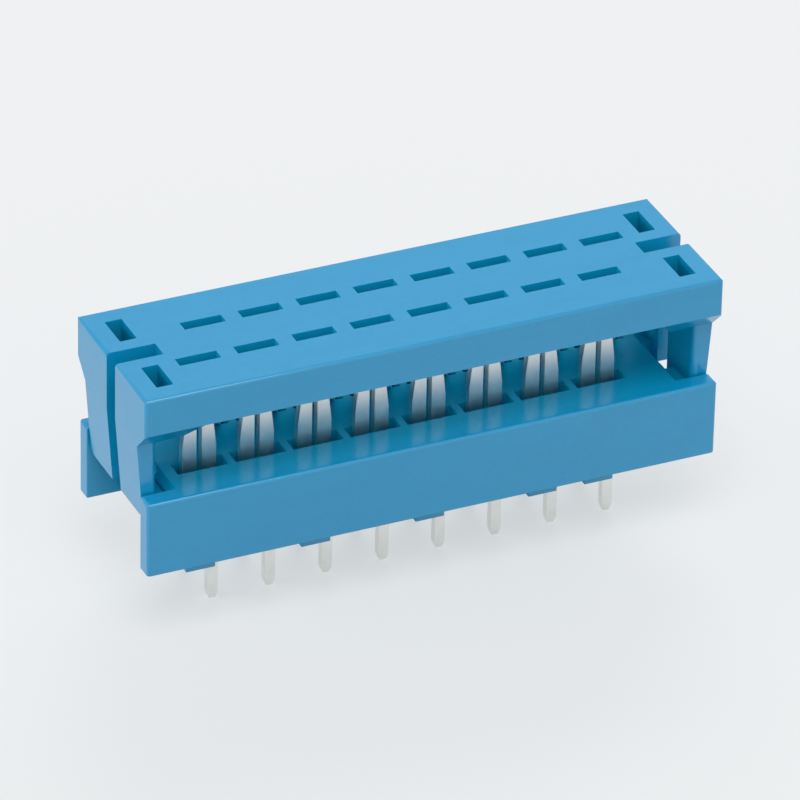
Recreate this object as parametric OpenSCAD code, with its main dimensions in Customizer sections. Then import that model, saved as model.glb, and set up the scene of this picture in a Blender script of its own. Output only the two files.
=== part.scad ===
// Flat cable connector that solders to a board, with its cover raised to take the cable.
// X runs along the contact rows, Y along the cable and Z up from the board.
// The origin is the centre of the tail grid, on the top face of the board.

/* [Contact grid] */
// Contacts in each of the two rows
ways = 8; // [3:1:20]
// Spacing of the contacts along a row, two wires of the cable
pitch = 2.54; // [2.4:0.01:4]
// Distance between the two rows
row_pitch = 2.54; // [1.8:0.01:2.8]

/* [Mouldings] */
// Width of the cover and the base across the cable
body_w = 7.3; // [6.8:0.1:10]
// Length of each end beyond the edge of the cable
end_l = 2.62; // [2.4:0.02:4]
// Distance that the base stays short of the cover at each end
base_short = 0.1; // [0:0.05:0.3]
// Radius on the outer edges
edge_r = 0.15; // [0.05:0.05:0.3]

/* [Base housing] */
// Height of the housing above its feet
base_h = 3.4; // [3.2:0.1:5]
// Thickness of the skirts that stand in front of and behind the legs
skirt_t = 0.8; // [0.5:0.05:1]
// Height of the feet that hold the housing off the board
foot_h = 0.5; // [0.2:0.05:0.8]
// Length of a foot along the row
foot_l = 1.3; // [0.8:0.1:1.6]
// Width of a foot across the row
foot_w = 1.0; // [0.6:0.1:1.2]
// Distance from the long side of the housing to its feet
foot_inset = 0.45; // [0.2:0.05:0.6]
// Length of the recess beside a contact in the top of the housing
recess_l = 2.2; // [1.65:0.05:2.3]
// Reach of the recess from the middle of the contact towards the long side
recess_w = 0.6; // [0.4:0.05:0.7]
// Depth of the recess beside a contact
recess_d = 0.9; // [0.4:0.05:0.95]

/* [Cover] */
// Thickness of the cover over the cable
head_h = 1.65; // [1.2:0.05:2.5]
// Height left for the cable when the cover is home
cable_gap = 0.9; // [0.8:0.05:1.4]
// Distance that the cover is pressed down to close it
press_travel = 2.3; // [1.5:0.1:2.3]
// Room left between the cover and the base when it is home
home_gap = 0.02; // [0.01:0.01:0.1]
// Slope of the end blocks that leads the edges of the cable in
lead_in = 0.64; // [0.3:0.02:0.8]
// Room at each edge of the cable
cable_clear = 0.04; // [0.02:0.01:0.2]
// Length of the slots over the contacts
slot_l = 1.8; // [1.6:0.05:2.1]
// Width of the slots over the contacts
slot_w = 0.56; // [0.42:0.02:0.7]

/* [Latch legs] */
// Thickness of a leg at its root
leg_t = 0.85; // [0.6:0.05:0.9]
// Taper of a leg's outer face towards its end
leg_taper = 0.25; // [0:0.05:0.3]
// Gap between the two legs of one end
leg_gap = 0.9; // [0.6:0.05:1.2]
// Length of the notch that continues the gap into the cover
notch_l = 2.1; // [1.8:0.05:2.2]
// Depth of a leg's end below the top of the base when the cover is raised
leg_reach = 1.12; // [0.9:0.02:1.14]
// Room between a leg and its skirt
leg_clear = 0.1; // [0.05:0.05:0.2]
// Radius on the outer corner of a leg's end
leg_r = 0.4; // [0.1:0.1:0.6]
// Radius on the upright edges of a leg that face the cable
leg_edge_r = 0.25; // [0.05:0.05:0.25]
// Depth of the hook on a leg
hook_d = 0.65; // [0.5:0.05:0.7]
// Width of the hook and of the window over it
hook_w = 1.64; // [1.2:0.02:1.7]
// Height of the hook's sloped lead
hook_lead = 0.4; // [0.2:0.05:0.5]
// Height of the hook's flat nose
hook_nose = 0.22; // [0.1:0.02:0.3]
// Room between the hook and the end wall of the base
hook_clear = 0.15; // [0.1:0.01:0.25]
// Room between the hook and the window's far wall
window_clear = 0.08; // [0.04:0.02:0.12]
// Overlap of the hook with the catch that holds the cover on
catch_bite = 0.1; // [0.05:0.01:0.2]
// Room between the hook and the rib that it passes
rib_clear = 0.03; // [0.02:0.01:0.08]
// Upright room between the hook and its catches
latch_gap = 0.03; // [0.02:0.01:0.08]

/* [Contacts] */
// Thickness of the contact strip
blade_t = 0.36; // [0.2:0.02:0.38]
// Width of the fork
fork_w = 1.48; // [1.2:0.01:1.5]
// Width of the wire slot in the fork
wire_slot = 0.24; // [0.16:0.02:0.34]
// Width of the fork's open mouth
fork_mouth = 0.62; // [0.5:0.02:0.66]
// Depth of the fork's sloped mouth
mouth_h = 0.45; // [0.3:0.05:0.6]
// Height of the fork's tips above the base
fork_h = 2.2; // [1.6:0.05:2.4]
// Depth of the wire slot below the top of the base
slot_root = 0.5; // [0.3:0.05:0.8]
// Distance that the fork narrows at each side towards its tips
tip_taper = 0.16; // [0.04:0.02:0.24]
// Height over which the fork narrows
taper_h = 1.4; // [0.4:0.1:1.5]
// Bevel on the faces of the tips
tip_bevel = 0.1; // [0.04:0.02:0.12]
// Depth of the contact's shoulders below the top of the base
shoulder_d = 1.2; // [1:0.05:1.6]
// Width of a shoulder
shoulder_w = 0.12; // [0.06:0.01:0.2]
// Distance from the underside of the base to the contact's body
body_inset = 0.25; // [0.1:0.05:0.4]
// Height of the barbs that grip the base
barb_h = 0.3; // [0.2:0.05:0.4]
// Room around the contact in its cavity
cavity_clear = 0.03; // [0.02:0.01:0.06]
// Width of a solder tail
tail_w = 0.45; // [0.3:0.01:0.5]
// Length of a solder tail below the top face of the board
tail_l = 2.7; // [1.8:0.1:4]
// Length of the tail's pointed tip
tail_point = 0.3; // [0.2:0.05:0.8]
// Width of the tail's blunt end
tail_end = 0.26; // [0.1:0.02:0.28]

/* [Hidden] */
$fn = 48;
contact_count = 2 * ways;
function contact_name(i) = str("contact_", i < 9 ? "0" : "", i + 1);

// Colours of the blue moulding and the tin plate
blue = [0.25, 0.56, 0.76];
tin = [0.80, 0.81, 0.80];

// Cut that runs past the faces it opens
over = 0.5;

// Places along X, measured from the middle
cable_edge = ways * pitch / 2;
half_l = cable_edge + end_l;
base_x = half_l - base_short;
leg_x = half_l - leg_t;
hook_x = leg_x - hook_d;
core_x = hook_x - hook_clear;
rib_x = hook_x - rib_clear;
catch_x = hook_x + catch_bite;
window_x = hook_x - window_clear;
block_x = cable_edge + cable_clear;
jog = pitch / 4;

// Places along Y, measured from the middle
half_w = body_w / 2;
skirt_y = half_w - skirt_t;
leg_y = skirt_y - leg_clear;
hook_y = leg_y - hook_w;
row_y = row_pitch / 2;

// Heights above the board, with the cover raised
base_top = foot_h + base_h;
leg_z = base_top - leg_reach;
hook_z = leg_z + hook_lead + hook_nose;
block_z = base_top + press_travel + home_gap;
head_z = block_z + cable_gap;
cover_top = head_z + head_h;
home_hook_z = hook_z - press_travel;

// Place of a contact's tail in its row, counted from the left
function tail_x(i) = (i - (ways - 1) / 2) * pitch;

// Rectangle with round corners, centred
module rounded_plan(l, w, r) {
    square([l - 2 * r, w], center = true);
    square([l, w - 2 * r], center = true);
    for (sx = [-1, 1], sy = [-1, 1])
        translate([sx * (l / 2 - r), sy * (w / 2 - r)]) circle(r);
}

// Section that stands on the line y = 0 and has round top corners
module rounded_section(w, h, r) {
    translate([-w / 2, 0]) square([w, h - r]);
    translate([-w / 2 + r, 0]) square([w - 2 * r, h]);
    for (s = [-1, 1])
        translate([s * (w / 2 - r), h - r]) circle(r);
}

// Section drawn in X and Z, extruded along Y from y0 to y1
module along_y(y0, y1) {
    translate([0, y1, 0]) rotate([90, 0, 0]) linear_extrude(y1 - y0) children();
}

// Section drawn in Y and Z, extruded along X from x0 to x1
module along_x(x0, x1) {
    translate([x0, 0, 0]) rotate([90, 0, 90]) linear_extrude(x1 - x0) children();
}

// Block with round upright corners and round top edges
module moulded_block(l, w, h) {
    intersection() {
        linear_extrude(h) rounded_plan(l, w, edge_r);
        along_x(-l / 2, l / 2) rounded_section(w, h, edge_r);
        along_y(-w / 2, w / 2) rounded_section(l, h, edge_r);
    }
}

// Both ends of the part, from the shape of the right one
module both_ends() {
    for (end = [0, 1]) mirror([end, 0, 0]) children();
}

// Front and rear half of an end, from the shape of the rear one
module both_sides() {
    for (side = [0, 1]) mirror([0, side, 0]) children();
}

// Every contact's place, with the rear row turned round
module contact_place(i) {
    front = i < ways;
    translate([tail_x(i % ways), front ? -row_y : row_y, 0])
        rotate(front ? 0 : 180) children();
}

// Side of a leg, tapered towards its end, with its root in the end block
module leg_side() {
    polygon([
        [leg_x, leg_z], [half_l - leg_taper, leg_z], [half_l, block_z],
        [half_l, head_z], [leg_x, head_z]
    ]);
}

// Plan of both legs of one end, round towards the cable and longer than their outer faces
module leg_plan() {
    translate([half_l, 0]) rounded_plan(2 * leg_t, 2 * leg_y, leg_edge_r);
}

// Lead, nose and upper face of the hook, with its root in the leg behind the round edge
module hook_side() {
    root_x = half_l - (leg_t + leg_taper - leg_edge_r) / 2;
    polygon([
        [root_x, leg_z], [leg_x, leg_z], [hook_x, leg_z + hook_lead],
        [hook_x, hook_z], [root_x, hook_z]
    ]);
}

// Catch that stops the hook from lifting out, with a slope that lets it in
module catch_section() {
    z0 = hook_z + latch_gap;
    rise = (base_top - z0) / 3;
    polygon([
        [core_x - over, z0], [catch_x, z0], [catch_x, z0 + rise],
        [core_x, base_top], [core_x - over, base_top]
    ]);
}

// Rib that the hook rides over, to lock under when the cover is home
module rib_section() {
    top = leg_z + hook_lead / 2;
    slope = rib_x - core_x;
    polygon([
        [core_x - over, home_hook_z + latch_gap], [rib_x, home_hook_z + latch_gap],
        [rib_x, top - slope], [core_x, top], [core_x - over, top]
    ]);
}

// Both legs of one end and their hooks, with round outer corners, before the gap between them is cut
module latch_legs() {
    intersection() {
        union() {
            intersection() {
                along_y(-leg_y, leg_y) leg_side();
                linear_extrude(head_z) leg_plan();
            }
            both_sides() along_y(hook_y, leg_y) hook_side();
        }
        along_x(hook_x, half_l)
            translate([0, head_z]) mirror([0, 1]) rounded_section(2 * leg_y, head_z - leg_z, leg_r);
    }
}

// Block under an end of the cover, sloped towards the cable and the long sides, rooted in the cover
module end_block() {
    root_z = head_z + edge_r;
    root_y = half_w - edge_r;
    intersection() {
        linear_extrude(cover_top) rounded_plan(2 * half_l, body_w, edge_r);
        along_x(block_x, half_l)
            polygon([
                [-leg_y, block_z], [leg_y, block_z], [half_w, head_z],
                [root_y, root_z], [-root_y, root_z], [-half_w, head_z]
            ]);
        along_y(-half_w, half_w)
            polygon([
                [block_x + lead_in, block_z], [half_l, block_z], [half_l, head_z],
                [half_l - edge_r, root_z], [block_x + edge_r, root_z], [block_x, head_z]
            ]);
    }
}

// Slot of the cover over one contact
module cover_slot() {
    translate([-jog, 0, block_z - over])
        linear_extrude(cover_top - block_z + 2 * over) square([slot_l, slot_w], center = true);
}

module cover() {
    color(blue) difference() {
        union() {
            translate([0, 0, head_z]) moulded_block(2 * half_l, body_w, head_h);
            both_ends() {
                end_block();
                latch_legs();
            }
        }
        both_ends() {
            translate([half_l - notch_l, -leg_gap / 2, leg_z - over])
                cube([notch_l + over, leg_gap, cover_top - leg_z + 2 * over]);
            both_sides()
                translate([window_x, hook_y, block_z - over])
                    cube([leg_x - window_x, hook_w, cover_top - block_z + 2 * over]);
        }
        for (i = [0 : contact_count - 1]) contact_place(i) cover_slot();
    }
}

// Outline of one contact, standing on its tail at x = 0, with the fork to the left
body_left = -jog - fork_w / 2 - shoulder_w;
body_right = max(-jog + fork_w / 2 + shoulder_w, tail_w / 2);
body_z = foot_h + body_inset;
shoulder_z = base_top - shoulder_d;
fork_z = base_top + fork_h;
root_z = base_top - slot_root;

module blade_outline() {
    left = -jog - fork_w / 2;
    right = -jog + fork_w / 2;
    barb_z = (body_z + shoulder_z) / 2;
    difference() {
        polygon([
            [left, shoulder_z], [left, fork_z - taper_h], [left + tip_taper, fork_z],
            [right - tip_taper, fork_z], [right, fork_z - taper_h], [right, shoulder_z],
            [body_right, shoulder_z], [body_right, barb_z + barb_h / 2],
            [body_right + cavity_clear, barb_z + barb_h / 2], [body_right, barb_z - barb_h / 2],
            [body_right, body_z], [tail_w / 2, body_z], [tail_w / 2, tail_point - tail_l],
            [tail_end / 2, -tail_l], [-tail_end / 2, -tail_l], [-tail_w / 2, tail_point - tail_l],
            [-tail_w / 2, body_z], [body_left, body_z], [body_left, barb_z - barb_h / 2],
            [body_left - cavity_clear, barb_z + barb_h / 2], [body_left, barb_z + barb_h / 2],
            [body_left, shoulder_z]
        ]);
        translate([-jog - wire_slot / 2, root_z]) square([wire_slot, fork_z - root_z]);
        translate([-jog, root_z]) circle(wire_slot / 2);
        translate([-jog, fork_z - mouth_h])
            polygon([
                [-wire_slot / 2, 0], [wire_slot / 2, 0],
                [fork_mouth / 2, mouth_h], [-fork_mouth / 2, mouth_h]
            ]);
    }
}

// Thickness of the strip, thinned at the tips and at the tail's end
module blade_side() {
    half = blade_t / 2;
    polygon([
        [-half, tail_point - tail_l], [-tail_end / 2, -tail_l],
        [tail_end / 2, -tail_l], [half, tail_point - tail_l],
        [half, fork_z - mouth_h / 2], [half - tip_bevel, fork_z],
        [tip_bevel - half, fork_z], [-half, fork_z - mouth_h / 2]
    ]);
}

module contact(i) {
    color(tin) contact_place(i) intersection() {
        along_y(-blade_t / 2, blade_t / 2) blade_outline();
        along_x(body_left - over, body_right + over) blade_side();
    }
}

// Cavity of the base for one contact, open below for its body and above for its fork, with its recess
module contact_cavity() {
    half_t = blade_t / 2 + cavity_clear;
    along_y(-half_t, half_t) {
        translate([-jog - fork_w / 2 - cavity_clear, foot_h])
            square([fork_w + 2 * cavity_clear, base_h + over]);
        translate([body_left - cavity_clear, foot_h - over])
            square([body_right - body_left + 2 * cavity_clear, shoulder_z - foot_h + over]);
    }
    translate([-jog - recess_l / 2, -recess_w, base_top - recess_d])
        cube([recess_l, recess_w + half_t, recess_d + over]);
}

// Places of the feet along the front, as multiples of the pitch
foot_places = concat([for (m = [-ways / 2 : 2 : ways / 2 - 2]) m], [ways / 2 - 1]);

module feet() {
    for (side = [0, 1], m = foot_places)
        rotate(180 * side)
            translate([m * pitch - foot_l / 2, foot_inset - half_w, 0])
                cube([foot_l, foot_w, foot_h + over]);
}

module base_housing() {
    color(blue) difference() {
        union() {
            difference() {
                translate([0, 0, foot_h]) moulded_block(2 * base_x, body_w, base_h);
                both_ends()
                    translate([core_x, -skirt_y, foot_h - over])
                        cube([half_l - core_x + over, 2 * skirt_y, base_h + 2 * over]);
            }
            both_ends() both_sides() {
                along_y(hook_y, leg_y) catch_section();
                along_y(hook_y, leg_y) rib_section();
            }
            feet();
        }
        for (i = [0 : contact_count - 1]) contact_place(i) contact_cavity();
    }
}

base_housing();
cover();
for (i = [0 : contact_count - 1])
    contact(i);
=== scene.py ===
# %% [markdown]
# # A flat-cable connector with its cover raised
# The part is a small blue connector that is soldered to a board. A ribbon cable slides in between the base
# and the raised cover, and pressing the cover down drives each wire into the fork of a tin-plated contact.
# The solids were modelled beforehand, and this lesson gives them edges that catch the light, two real
# materials, a floor, lamps and a camera. The first lines load the solids as a fixed frame. The box round
# them is kept for later.

# %% Load the solids
import math

import bmesh
import bpy
from mathutils import Matrix, Vector


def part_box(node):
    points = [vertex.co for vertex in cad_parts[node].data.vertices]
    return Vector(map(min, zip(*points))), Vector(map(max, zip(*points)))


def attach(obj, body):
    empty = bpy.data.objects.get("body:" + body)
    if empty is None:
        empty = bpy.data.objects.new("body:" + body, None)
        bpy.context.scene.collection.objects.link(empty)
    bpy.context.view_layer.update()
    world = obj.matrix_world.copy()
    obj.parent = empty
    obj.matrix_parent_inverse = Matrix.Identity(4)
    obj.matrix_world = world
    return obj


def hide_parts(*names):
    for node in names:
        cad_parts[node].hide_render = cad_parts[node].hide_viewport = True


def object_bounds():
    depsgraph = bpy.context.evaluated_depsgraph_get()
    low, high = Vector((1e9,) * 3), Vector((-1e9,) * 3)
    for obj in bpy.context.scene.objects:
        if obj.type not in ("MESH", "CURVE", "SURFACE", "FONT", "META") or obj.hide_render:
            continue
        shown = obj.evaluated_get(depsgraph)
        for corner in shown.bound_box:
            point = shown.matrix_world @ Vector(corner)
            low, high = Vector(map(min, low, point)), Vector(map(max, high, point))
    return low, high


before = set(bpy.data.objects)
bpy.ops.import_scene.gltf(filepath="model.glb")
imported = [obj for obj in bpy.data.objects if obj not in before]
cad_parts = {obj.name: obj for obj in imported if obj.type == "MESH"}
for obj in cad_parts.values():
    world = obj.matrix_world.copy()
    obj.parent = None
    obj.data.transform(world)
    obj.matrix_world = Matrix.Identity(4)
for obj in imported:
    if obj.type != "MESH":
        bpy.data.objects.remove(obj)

MM = 0.001
cad_low, cad_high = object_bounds()
print("solids:", len(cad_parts), "size in mm:", [round(side / MM, 2) for side in cad_high - cad_low])

# %% [markdown]
# ## Colours as they are written
# A colour picked on a screen is an sRGB hex value, and the renderer works with linear light. One function
# turns the first into the second by the curve of the sRGB standard, so every colour below can be read and
# compared by eye. The view transform is Standard, which shows the colours about as they are written.

# %% One function for all colours
def linear(hex_colour):
    """Linear colour with alpha, from an sRGB hex value."""
    channels = [int(hex_colour[i:i + 2], 16) / 255 for i in (1, 3, 5)]
    curve = [c / 12.92 if c <= 0.04045 else ((c + 0.055) / 1.055) ** 2.4 for c in channels]
    return (*curve, 1.0)


bpy.context.scene.view_settings.view_transform = "Standard"
print("the middle grey #808080 in linear light:", round(linear("#808080")[0], 3))

# %% [markdown]
# ## Small functions for shader nodes
# A node tree is easier to read when adding a node, setting its sockets and linking its inputs is a single
# call. Sockets go by their names, or by their numbers where a node has several of the same name. A Mix node
# has a set for each kind of data, so the numbers of its colour sockets are named here. Patterns are drawn on
# Object coordinates, which are metres here. The marks of a noise of scale s are about 1/s metres across, so
# the last function turns a real size in millimetres into that scale.

# %% Helpers for materials
MIX_FACTOR = 0
MIX_FIRST = 6
MIX_SECOND = 7
MIX_RESULT = 2


def add(tree, kind, values=None, links=None, **settings):
    """A node of this kind, with socket values, links to its inputs and its own settings."""
    node = tree.nodes.new(kind)
    for name, setting in settings.items():
        setattr(node, name, setting)
    for socket, value in (values or {}).items():
        node.inputs[socket].default_value = value
    for socket, output in (links or {}).items():
        tree.links.new(output, node.inputs[socket])
    return node


def new_material(name):
    """An empty node material and its tree."""
    material = bpy.data.materials.new(name)
    material.use_nodes = True
    material.node_tree.nodes.clear()
    return material, material.node_tree


def per_size(size_mm):
    """Scale of a pattern whose marks are this many millimetres across."""
    return 1 / (size_mm * MM)


print("a grain of 0.1 mm is a scale of", round(per_size(0.1)))

# %% [markdown]
# ## Where the part shelters itself
# Sheltered faces, as under the cover and deep in the windows, show no sheen on the real part and look a
# dark teal. A skin with the same sheen all over would mirror the bright room there. The Ambient Occlusion
# node tells how open a point is within a few millimetres, and the specular level follows it, so the sheen
# fades where the part closes in on itself: that fade is painted shade on the reflections. Light that bounces
# between blue walls gets bluer each time, more than on the real part, so the body colour is made greener in
# much the same places: a painted shade tint, not a colour of the plastic. The ledge in front of the forks is
# open enough to stay glossy, and the forks are mirrored in it.

# %% Sheltered places
SHELTER_MM = 8.0
SHELTER_SAMPLES = 8
SHELTERED = 0.34
GLOSSY = 0.42
OPEN = 0.54
FULL_SHEEN = 0.72


def shelter(tree):
    """Specular level with painted shade, and the share of plain blue left over the painted shade tint."""
    openness = add(tree, "ShaderNodeAmbientOcclusion", {"Distance": SHELTER_MM * MM},
                   samples=SHELTER_SAMPLES)
    # painted shade on the reflections: the specular level drops to nought in sheltered places
    sheen = add(tree, "ShaderNodeMapRange",
                {"From Min": SHELTERED, "From Max": GLOSSY, "To Max": FULL_SHEEN},
                {"Value": openness.outputs["AO"]})
    # painted shade tint: this share of plain blue falls to nought in sheltered places
    plain_blue_share = add(tree, "ShaderNodeMapRange", {"From Min": SHELTERED, "From Max": OPEN},
                {"Value": openness.outputs["AO"]})
    return sheen.outputs["Result"], plain_blue_share.outputs["Result"]


print("the sheen fades by what lies within", SHELTER_MM, "mm")

# %% [markdown]
# ## The blue moulding
# The base and the cover are glass-filled polyester, injection moulded in a spark-eroded tool. That gives a
# saturated blue with a semi-gloss skin: the body colour holds almost no red, and the pale look of the end
# faces is the white surroundings mirrored in the skin at a low angle. A single blue would do from afar, but
# moulded parts are never one flat tone. Melt flows in bands along the part, the fibres make a fine mottle,
# and the tool leaves a grain that a bump can show. The real grain is finer than a pixel, so it is drawn at
# about twice its size.

# %% Blue moulded polyester
BLUE_DEEP = "#0795C4"
BLUE_PALE = "#0C9BCA"
# painted shade tint: the greener blue shown in sheltered places, not a colour of the plastic
BLUE_PAINTED_SHADE = "#08A1C3"
TONE_LOW = 0.7
TONE_HIGH = 1.3
FLOW_MM = 1.1
FLOW_STRETCH = 0.22
FLOW_DETAIL = 3.0
FLOW_ROUGHNESS = 0.55
MOTTLE_MM = 0.28
MOTTLE_DETAIL = 4.0
MOTTLE_ROUGHNESS = 0.6
MOTTLE_LOW = 0.35
MOTTLE_HIGH = 0.65
SKIN_SMOOTHEST = 0.17
SKIN_ROUGHEST = 0.25
GRAIN_MM = 0.09
GRAIN_DETAIL = 2.0
GRAIN_HEIGHT_MM = 0.01
GRAIN_STRENGTH = 0.08
POLYESTER_IOR = 1.57


def moulded_polyester():
    """Glass-filled polyester with a spark-eroded, semi-gloss skin."""
    material, tree = new_material("blue_moulded_polyester")
    place = add(tree, "ShaderNodeTexCoord").outputs["Object"]
    along = add(tree, "ShaderNodeMapping", {"Scale": (FLOW_STRETCH, 1, 1)}, {"Vector": place})
    flow = add(tree, "ShaderNodeTexNoise",
               {"Scale": per_size(FLOW_MM), "Detail": FLOW_DETAIL, "Roughness": FLOW_ROUGHNESS},
               {"Vector": along.outputs["Vector"]})
    mottle = add(tree, "ShaderNodeTexNoise",
                 {"Scale": per_size(MOTTLE_MM), "Detail": MOTTLE_DETAIL, "Roughness": MOTTLE_ROUGHNESS},
                 {"Vector": place})
    grain = add(tree, "ShaderNodeTexNoise", {"Scale": per_size(GRAIN_MM), "Detail": GRAIN_DETAIL},
                {"Vector": place})
    both = add(tree, "ShaderNodeMath", links={0: flow.outputs["Fac"], 1: mottle.outputs["Fac"]},
               operation="ADD")
    tone = add(tree, "ShaderNodeMapRange", {"From Min": TONE_LOW, "From Max": TONE_HIGH},
               {"Value": both.outputs["Value"]})
    blue = add(tree, "ShaderNodeMix", {MIX_FIRST: linear(BLUE_DEEP), MIX_SECOND: linear(BLUE_PALE)},
               {MIX_FACTOR: tone.outputs["Result"]}, data_type="RGBA")
    gloss = add(tree, "ShaderNodeMapRange",
                {"From Min": MOTTLE_LOW, "From Max": MOTTLE_HIGH,
                 "To Min": SKIN_SMOOTHEST, "To Max": SKIN_ROUGHEST},
                {"Value": mottle.outputs["Fac"]})
    bump = add(tree, "ShaderNodeBump", {"Strength": GRAIN_STRENGTH, "Distance": GRAIN_HEIGHT_MM * MM},
               {"Height": grain.outputs["Fac"]})
    sheen, plain_blue_share = shelter(tree)
    # sheltered places take the painted shade tint instead of the plain blue
    colour = add(tree, "ShaderNodeMix", {MIX_FIRST: linear(BLUE_PAINTED_SHADE)},
                 {MIX_FACTOR: plain_blue_share, MIX_SECOND: blue.outputs[MIX_RESULT]}, data_type="RGBA")
    skin = add(tree, "ShaderNodeBsdfPrincipled", {"IOR": POLYESTER_IOR},
               {"Base Color": colour.outputs[MIX_RESULT], "Roughness": gloss.outputs["Result"],
                "Specular IOR Level": sheen, "Normal": bump.outputs["Normal"]})
    add(tree, "ShaderNodeOutputMaterial", links={"Surface": skin.outputs["BSDF"]})
    return material


blue_polyester = moulded_polyester()
print("material:", blue_polyester.name)

# %% [markdown]
# ## The tin plate
# Each contact is stamped from thin copper alloy strip and plated with tin. Tin is a white metal, a little
# warmer than chrome, and the plating follows the fine draw lines of the strip, which run along the contact.
# A metal shows its surroundings and little else. The draw lines scatter them, so the forks look satin rather
# than mirror bright. An anisotropic shader could smear the reflections too, but a noise that is stretched
# along the strip shows single lines: the roughness follows them, a weak bump breaks the reflections, and a
# soft bloom varies the colour. Real lines are finer than a pixel, so these are as coarse as they need to be
# to show.

# %% Tin plate
TIN_DULL = "#E2E2DE"
TIN_BRIGHT = "#F2F2EE"
BLOOM_MM = 0.5
BLOOM_DETAIL = 3.0
DRAW_LINE_MM = 0.05
DRAW_STRETCH = 0.06
DRAW_DETAIL = 2.0
DRAW_LOW = 0.3
DRAW_HIGH = 0.7
DRAW_HEIGHT_MM = 0.01
DRAW_STRENGTH = 0.1
TIN_SMOOTHEST = 0.28
TIN_ROUGHEST = 0.42


def bright_tin():
    """Tin plate on drawn and stamped strip."""
    material, tree = new_material("bright_tin_plate")
    place = add(tree, "ShaderNodeTexCoord").outputs["Object"]
    upright = add(tree, "ShaderNodeMapping", {"Scale": (1, 1, DRAW_STRETCH)}, {"Vector": place})
    lines = add(tree, "ShaderNodeTexNoise", {"Scale": per_size(DRAW_LINE_MM), "Detail": DRAW_DETAIL},
                {"Vector": upright.outputs["Vector"]})
    bloom = add(tree, "ShaderNodeTexNoise", {"Scale": per_size(BLOOM_MM), "Detail": BLOOM_DETAIL},
                {"Vector": place})
    colour = add(tree, "ShaderNodeMix", {MIX_FIRST: linear(TIN_DULL), MIX_SECOND: linear(TIN_BRIGHT)},
                 {MIX_FACTOR: bloom.outputs["Fac"]}, data_type="RGBA")
    gloss = add(tree, "ShaderNodeMapRange",
                {"From Min": DRAW_LOW, "From Max": DRAW_HIGH,
                 "To Min": TIN_SMOOTHEST, "To Max": TIN_ROUGHEST},
                {"Value": lines.outputs["Fac"]})
    bump = add(tree, "ShaderNodeBump", {"Strength": DRAW_STRENGTH, "Distance": DRAW_HEIGHT_MM * MM},
               {"Height": lines.outputs["Fac"]})
    plate = add(tree, "ShaderNodeBsdfPrincipled", {"Metallic": 1.0},
                {"Base Color": colour.outputs[MIX_RESULT], "Roughness": gloss.outputs["Result"],
                 "Normal": bump.outputs["Normal"]})
    add(tree, "ShaderNodeOutputMaterial", links={"Surface": plate.outputs["BSDF"]})
    return material


tin_plate = bright_tin()
print("material:", tin_plate.name)

# %% [markdown]
# ## Edges that catch the light
# A solid from CAD has edges of no width, which look drawn rather than moulded. Moulded edges are round,
# because melt never fills a corner that sharply, and stamped edges are rolled over. A Bevel modifier could
# round them all alike. The bevel operator can also take just some of them, which the forks need later. The
# mesh of each solid is copied, its loose triangles are merged, flat neighbours are dissolved into whole
# faces, and the sharp edges get a small bevel.

# %% A softened copy of a solid
SHARP = math.radians(28)
FLAT = math.radians(0.5)
WELD_M = 1e-7


def merged_copy(node):
    """The solid's mesh with its triangles merged into whole faces."""
    shape = bmesh.new()
    shape.from_mesh(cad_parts[node].data)
    bmesh.ops.remove_doubles(shape, verts=shape.verts, dist=WELD_M)
    bmesh.ops.dissolve_limit(shape, angle_limit=FLAT, verts=shape.verts, edges=shape.edges)
    return shape


def soften(shape, width_mm, segments, wanted=None):
    """Bevels the sharp edges of a shape, or those of them that a test wants."""
    edges = [e for e in shape.edges if e.is_manifold and e.calc_face_angle() > SHARP]
    if wanted:
        edges = [e for e in edges if wanted(e)]
    bmesh.ops.bevel(shape, geom=edges, offset=width_mm * MM, offset_type="OFFSET", affect="EDGES",
                    segments=segments, profile=0.5, material=-1, clamp_overlap=True)
    return len(edges)


print("edges sharper than", round(math.degrees(SHARP)), "degrees will be bevelled")

# %% [markdown]
# ## From a shape to a piece
# Every piece of the connector gets the same last steps, so one function holds them. All faces are shaded
# smooth, and weighted normals keep the wide ones flat, so only the bevels look round. The function also
# gives the piece its material, tells the frame which body the piece rides on, and hides the solid it
# stands in for.

# %% Finish of a piece
def finish_piece(shape, name, node, body, material):
    """Makes the object, gives it its finish and lets it stand for the solid."""
    mesh = bpy.data.meshes.new(name)
    for face in shape.faces:
        face.smooth = True
    shape.to_mesh(mesh)
    shape.free()
    mesh.materials.append(material)
    piece = bpy.data.objects.new(name, mesh)
    bpy.context.scene.collection.objects.link(piece)
    normals = piece.modifiers.new("flat faces", "WEIGHTED_NORMAL")
    normals.mode = "FACE_AREA"
    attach(piece, body)
    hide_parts(node)
    return piece


print("solids that wait for a finish:", len(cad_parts))

# %% [markdown]
# ## The cover
# The cover is one moulding: a head with a slot over each contact, a sloped block under each end that guides
# the edges of the cable, and four legs whose hooks hold it to the base. The slots let the tips of the forks
# in when the cover is pressed home. It could be built again from a box, but all of these forms are in the
# solid, so a softened copy is enough. A bevel that is too wide would eat them: the slots are only 0.56 mm
# across. So the edges get 0.06 mm, about what a small mould leaves on them. The piece rides on the cover's
# own body, because it slides down on the base.

# %% Cover
EDGE_MM = 0.06
EDGE_SEGMENTS = 2

cover_shape = merged_copy("cover")
softened = soften(cover_shape, EDGE_MM, EDGE_SEGMENTS)
cover = finish_piece(cover_shape, "cover_moulding", "cover", "cover", blue_polyester)
print("cover:", softened, "edges softened,", len(cover.data.polygons), "faces")

# %% [markdown]
# ## The base
# The base is one moulding as well. Two long skirts stand beside the legs of the cover, a core between them
# holds a cavity for each contact, and small feet keep it off the board. It comes out of the same kind of
# tool as the cover, so it gets the same edges and the same material.

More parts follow.
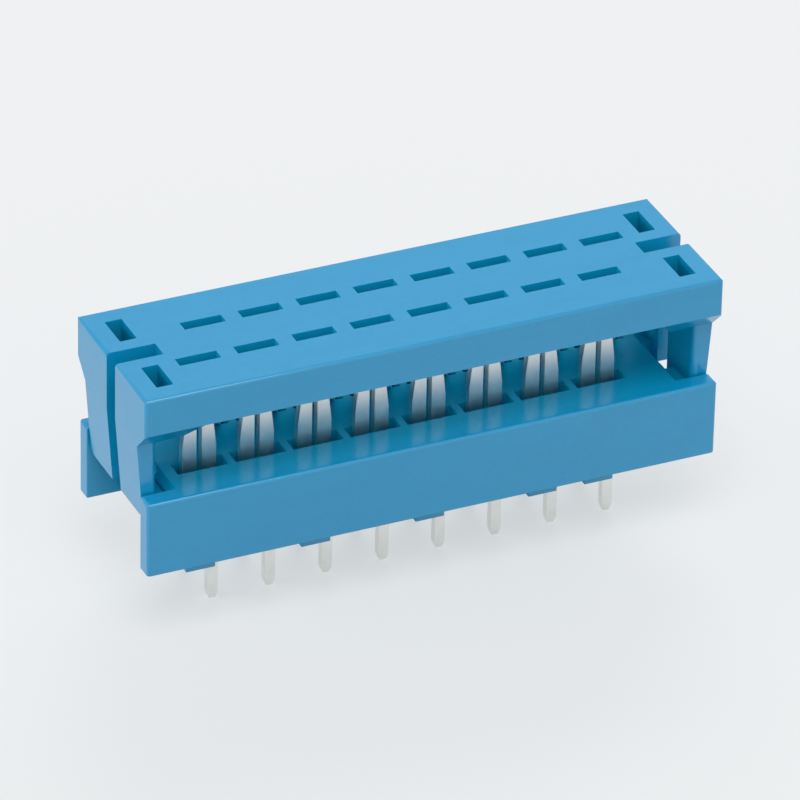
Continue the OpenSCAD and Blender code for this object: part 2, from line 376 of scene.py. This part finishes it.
# %% Base housing
base_shape = merged_copy("base_housing")
softened = soften(base_shape, EDGE_MM, EDGE_SEGMENTS)
base = finish_piece(base_shape, "base_moulding", "base_housing", "base", blue_polyester)
print("base:", softened, "edges softened,", len(base.data.polygons), "faces")

# %% [markdown]
# ## The sixteen contacts
# A contact is a strip with a fork on top, shoulders that seat it in the base and a tail that is soldered. A
# punch rolls the edges of a strip over, and the forks are rounder still, so each tine shows one soft strip
# of light. Two bevels give that. The first is wide and takes only the edges round the flat faces of the
# fork, above the base, which a small test picks out by their place. The second is narrow and takes what is
# still sharp. All contacts have the same shape, but each is a piece of its own, so a loop makes sixteen.

# %% Contacts
FORK_EDGE_MM = 0.09
FORK_EDGE_SEGMENTS = 4
STAMPED_EDGE_MM = 0.025
STAMPED_EDGE_SEGMENTS = 2
BASE_TOP_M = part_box("base_housing")[1].z
SAME_M = 1e-6


def fork_outline(shape):
    """A test for the edges round the flat faces of a contact's fork."""
    front = min(vert.co.y for vert in shape.verts)
    back = max(vert.co.y for vert in shape.verts)

    def wanted(edge):
        first, second = (vert.co for vert in edge.verts)
        at_one_depth = abs(first.y - second.y) < SAME_M
        at_a_face = first.y - front < SAME_M or back - first.y < SAME_M
        return at_one_depth and at_a_face and max(first.z, second.z) > BASE_TOP_M

    return wanted


contact_nodes = sorted(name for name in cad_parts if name.startswith("contact_"))
for node in contact_nodes:
    contact_shape = merged_copy(node)
    rounded = soften(contact_shape, FORK_EDGE_MM, FORK_EDGE_SEGMENTS, fork_outline(contact_shape))
    soften(contact_shape, STAMPED_EDGE_MM, STAMPED_EDGE_SEGMENTS)
    contact_name = node.replace("contact", "tin_contact")
    finish_piece(contact_shape, contact_name, node, "base", tin_plate)
print("contacts:", len(contact_nodes), "with", rounded, "rounded fork edges each")

# %% [markdown]
# ## Two looks for one surface
# The connector stands on a white sheet in a white room. A sheet or a room that is lit until it looks white
# would also throw that light on the part and wash out its blue. So each gets two looks, and the Light Path
# node picks one for each ray: one for rays from the camera, or from a mirror or a glass, and one for rays
# that only carry light.

# %% Which rays see a surface
def seen_directly(tree):
    """One for a ray from the camera, a mirror or a glass, and nought for one that only carries light."""
    path = add(tree, "ShaderNodeLightPath").outputs
    mirror = add(tree, "ShaderNodeMath", links={0: path["Is Camera Ray"], 1: path["Is Glossy Ray"]},
                 operation="MAXIMUM")
    glass = add(tree, "ShaderNodeMath", links={0: mirror.outputs[0], 1: path["Is Transmission Ray"]},
                operation="MAXIMUM")
    return glass.outputs[0]


print("kinds of ray that see a surface: camera, glossy, transmission")

# %% [markdown]
# ## The paper
# The sheet is matt white paper. Rays that only carry light meet a light grey paper with faint fibres. Rays
# that see it meet a darker paper with a glow of its own, which is pale and still takes the shadow of the
# part. A glow alone would show no shadow. From below the sheet is clear, so the underside of the part can be
# looked at.

# %% Paper
PAPER_DULL = "#BCBEBE"
PAPER_BRIGHT = "#C0C2C2"
PAPER_SHADED = "#9D9B99"
FIBRE_MM = 2.0
FIBRE_DETAIL = 3.0
GLOW_COLOUR = "#FBFFFF"
GLOW_STRENGTH = 0.54


def pale_sheet():
    """Matt white sheet that is clear from below."""
    material, tree = new_material("white_paper_sheet")
    place = add(tree, "ShaderNodeTexCoord").outputs["Object"]
    fibre = add(tree, "ShaderNodeTexNoise", {"Scale": per_size(FIBRE_MM), "Detail": FIBRE_DETAIL},
                {"Vector": place})
    colour = add(tree, "ShaderNodeMix", {MIX_FIRST: linear(PAPER_DULL), MIX_SECOND: linear(PAPER_BRIGHT)},
                 {MIX_FACTOR: fibre.outputs["Fac"]}, data_type="RGBA")
    paper = add(tree, "ShaderNodeBsdfDiffuse", links={"Color": colour.outputs[MIX_RESULT]})
    shade = add(tree, "ShaderNodeBsdfDiffuse", {"Color": linear(PAPER_SHADED)})
    glow = add(tree, "ShaderNodeEmission", {"Color": linear(GLOW_COLOUR), "Strength": GLOW_STRENGTH})
    pale = add(tree, "ShaderNodeAddShader",
               links={0: shade.outputs["BSDF"], 1: glow.outputs["Emission"]})
    shown = add(tree, "ShaderNodeMixShader",
                links={0: seen_directly(tree), 1: paper.outputs["BSDF"], 2: pale.outputs["Shader"]})
    clear = add(tree, "ShaderNodeBsdfTransparent")
    below = add(tree, "ShaderNodeNewGeometry").outputs["Backfacing"]
    sheet = add(tree, "ShaderNodeMixShader",
                links={0: below, 1: shown.outputs["Shader"], 2: clear.outputs["BSDF"]})
    add(tree, "ShaderNodeOutputMaterial", links={"Surface": sheet.outputs["Shader"]})
    return material


paper_sheet = pale_sheet()
print("material:", paper_sheet.name)

# %% [markdown]
# ## The floor
# The connector stands on the tips of its tails, so the floor lies at the lowest point of the solids. A grid
# of one face is enough, because the paper is flat, and it reaches so far that its rim stays out of the
# picture. It isn't part of the connector.

# %% Floor
FLOOR_HALF_M = 2.0

floor_shape = bmesh.new()
bmesh.ops.create_grid(floor_shape, x_segments=1, y_segments=1, size=FLOOR_HALF_M,
                      matrix=Matrix.Translation((0, 0, cad_low.z)))
floor_mesh = bpy.data.meshes.new("floor")
floor_shape.to_mesh(floor_mesh)
floor_shape.free()
floor_mesh.materials.append(paper_sheet)
floor = bpy.data.objects.new("floor", floor_mesh)
bpy.context.scene.collection.objects.link(floor)
print("floor at", round(cad_low.z / MM, 2), "mm")

# %% [markdown]
# ## The room
# The world stands for a white studio. A picture of a real studio could do this, but two ramps are enough and
# can be set one by one. As a light the room is bright at the walls and dim overhead, because lamps give the
# light from above. Where it is seen or mirrored, it is white in front of the part and greyer behind it: the
# top of the cover mirrors the rear of the room, and a white rear would bleach it. The directions that the
# ramps read run from -1 to 1.

# %% White room
LIGHT_COLOUR = "#F3F6FF"
WALL_LIGHT = 0.9
CEILING_LIGHT = 0.17
WALL_HEIGHT = 0.35
CEILING_HEIGHT = 0.85
WALL_COLOUR = "#FBFDFD"
FRONT_WALL = 1.0
REAR_WALL = 0.54


def white_room():
    """A pale world that lights by height and is mirrored by depth."""
    world = bpy.data.worlds.new("white_room")
    bpy.context.scene.world = world
    world.use_nodes = True
    tree = world.node_tree
    tree.nodes.clear()
    outward = add(tree, "ShaderNodeTexCoord").outputs["Generated"]
    way = add(tree, "ShaderNodeSeparateXYZ", links={"Vector": outward}).outputs
    height = add(tree, "ShaderNodeMapRange",
                 {"From Min": WALL_HEIGHT, "From Max": CEILING_HEIGHT,
                  "To Min": WALL_LIGHT, "To Max": CEILING_LIGHT},
                 {"Value": way["Z"]})
    depth = add(tree, "ShaderNodeMapRange",
                {"From Min": -1.0, "From Max": 1.0, "To Min": FRONT_WALL, "To Max": REAR_WALL},
                {"Value": way["Y"]})
    light = add(tree, "ShaderNodeBackground", {"Color": linear(LIGHT_COLOUR)},
                {"Strength": height.outputs["Result"]})
    walls = add(tree, "ShaderNodeBackground", {"Color": linear(WALL_COLOUR)},
                {"Strength": depth.outputs["Result"]})
    room = add(tree, "ShaderNodeMixShader",
               links={0: seen_directly(tree), 1: light.outputs["Background"],
                      2: walls.outputs["Background"]})
    add(tree, "ShaderNodeOutputWorld", links={"Surface": room.outputs["Shader"]})
    return world


print("world:", white_room().name)

# %% [markdown]
# ## Three soft lamps
# The key hangs high in front of the part. It lights the top and the front, and under the raised cover it
# reaches only the front of the base, which leaves the space between the forks dark. The second lamp stands
# low behind the part on the right and throws its shadow on the sheet towards the front left. It doesn't show
# in reflections, where it would be a bright patch on the cover. The third is weak and lifts the end faces on
# the left. Small lamps would throw hard shadows. All three are large for the size of the part, so theirs are
# soft.

# %% Lamps
LAMP_DISTANCE_M = 0.5
LAMP_COLOUR = "#F6F8FF"


def soft_lamp(name, azimuth_deg, elevation_deg, size_m, power_w):
    """A square area lamp that faces the part. Azimuth 0 is in front of it and 90 to its right."""
    data = bpy.data.lights.new(name, "AREA")
    data.shape = "SQUARE"
    data.size = size_m
    data.energy = power_w
    data.color = linear(LAMP_COLOUR)[:3]
    lamp = bpy.data.objects.new(name, data)
    turn = math.radians(azimuth_deg)
    rise = math.radians(elevation_deg)
    away = Vector((math.sin(turn) * math.cos(rise), -math.cos(turn) * math.cos(rise), math.sin(rise)))
    lamp.location = away * LAMP_DISTANCE_M
    lamp.rotation_euler = away.to_track_quat("Z", "Y").to_euler()
    bpy.context.scene.collection.objects.link(lamp)
    return lamp


key_lamp = soft_lamp("key_softbox", azimuth_deg=-20, elevation_deg=65, size_m=0.3, power_w=1.19)
rear_lamp = soft_lamp("rear_softbox", azimuth_deg=151, elevation_deg=26, size_m=0.3, power_w=1.35)
side_lamp = soft_lamp("side_softbox", azimuth_deg=-100, elevation_deg=15, size_m=0.25, power_w=0.62)
rear_lamp.visible_glossy = False
for lamp in (key_lamp, rear_lamp, side_lamp):
    print("lamp:", lamp.name, round(lamp.data.energy, 2), "W")

# %% [markdown]
# ## The camera
# The photograph looks at the part from the front left and from above, with a long lens, so that its long
# edges run almost parallel. The angles, the distance and the point in the middle of the picture were solved
# from the corners of the part in the photograph, at its real size. A camera could be aimed by a constraint,
# but matrices keep the slight roll as well: the camera starts at that point, is turned, and steps back along
# its own axis.

# %% Camera
CAMERA_AZIMUTH = math.radians(24.587)
CAMERA_ELEVATION = math.radians(31.286)
CAMERA_ROLL = math.radians(1.228)
CAMERA_AIM = Vector((0.166, 0.364, 3.659)) * MM
CAMERA_DISTANCE = 328.14 * MM
LENS_MM = 360
SENSOR_MM = 36
CLIP_START_M = 0.01
CLIP_END_M = 10

camera_data = bpy.data.cameras.new("camera")
camera_data.lens = LENS_MM
camera_data.sensor_width = SENSOR_MM
camera_data.clip_start = CLIP_START_M
camera_data.clip_end = CLIP_END_M
camera = bpy.data.objects.new("camera", camera_data)
heading = Matrix.Rotation(-CAMERA_AZIMUTH, 4, "Z")
tilt = Matrix.Rotation(math.pi / 2 - CAMERA_ELEVATION, 4, "X")
roll = Matrix.Rotation(CAMERA_ROLL, 4, "Z")
facing = heading @ tilt @ roll
step_back = Matrix.Translation((0, 0, CAMERA_DISTANCE))
camera.matrix_world = Matrix.Translation(CAMERA_AIM) @ facing @ step_back
bpy.context.scene.collection.objects.link(camera)
bpy.context.scene.camera = camera
print("camera at", [round(c / MM, 1) for c in camera.matrix_world.translation], "mm")
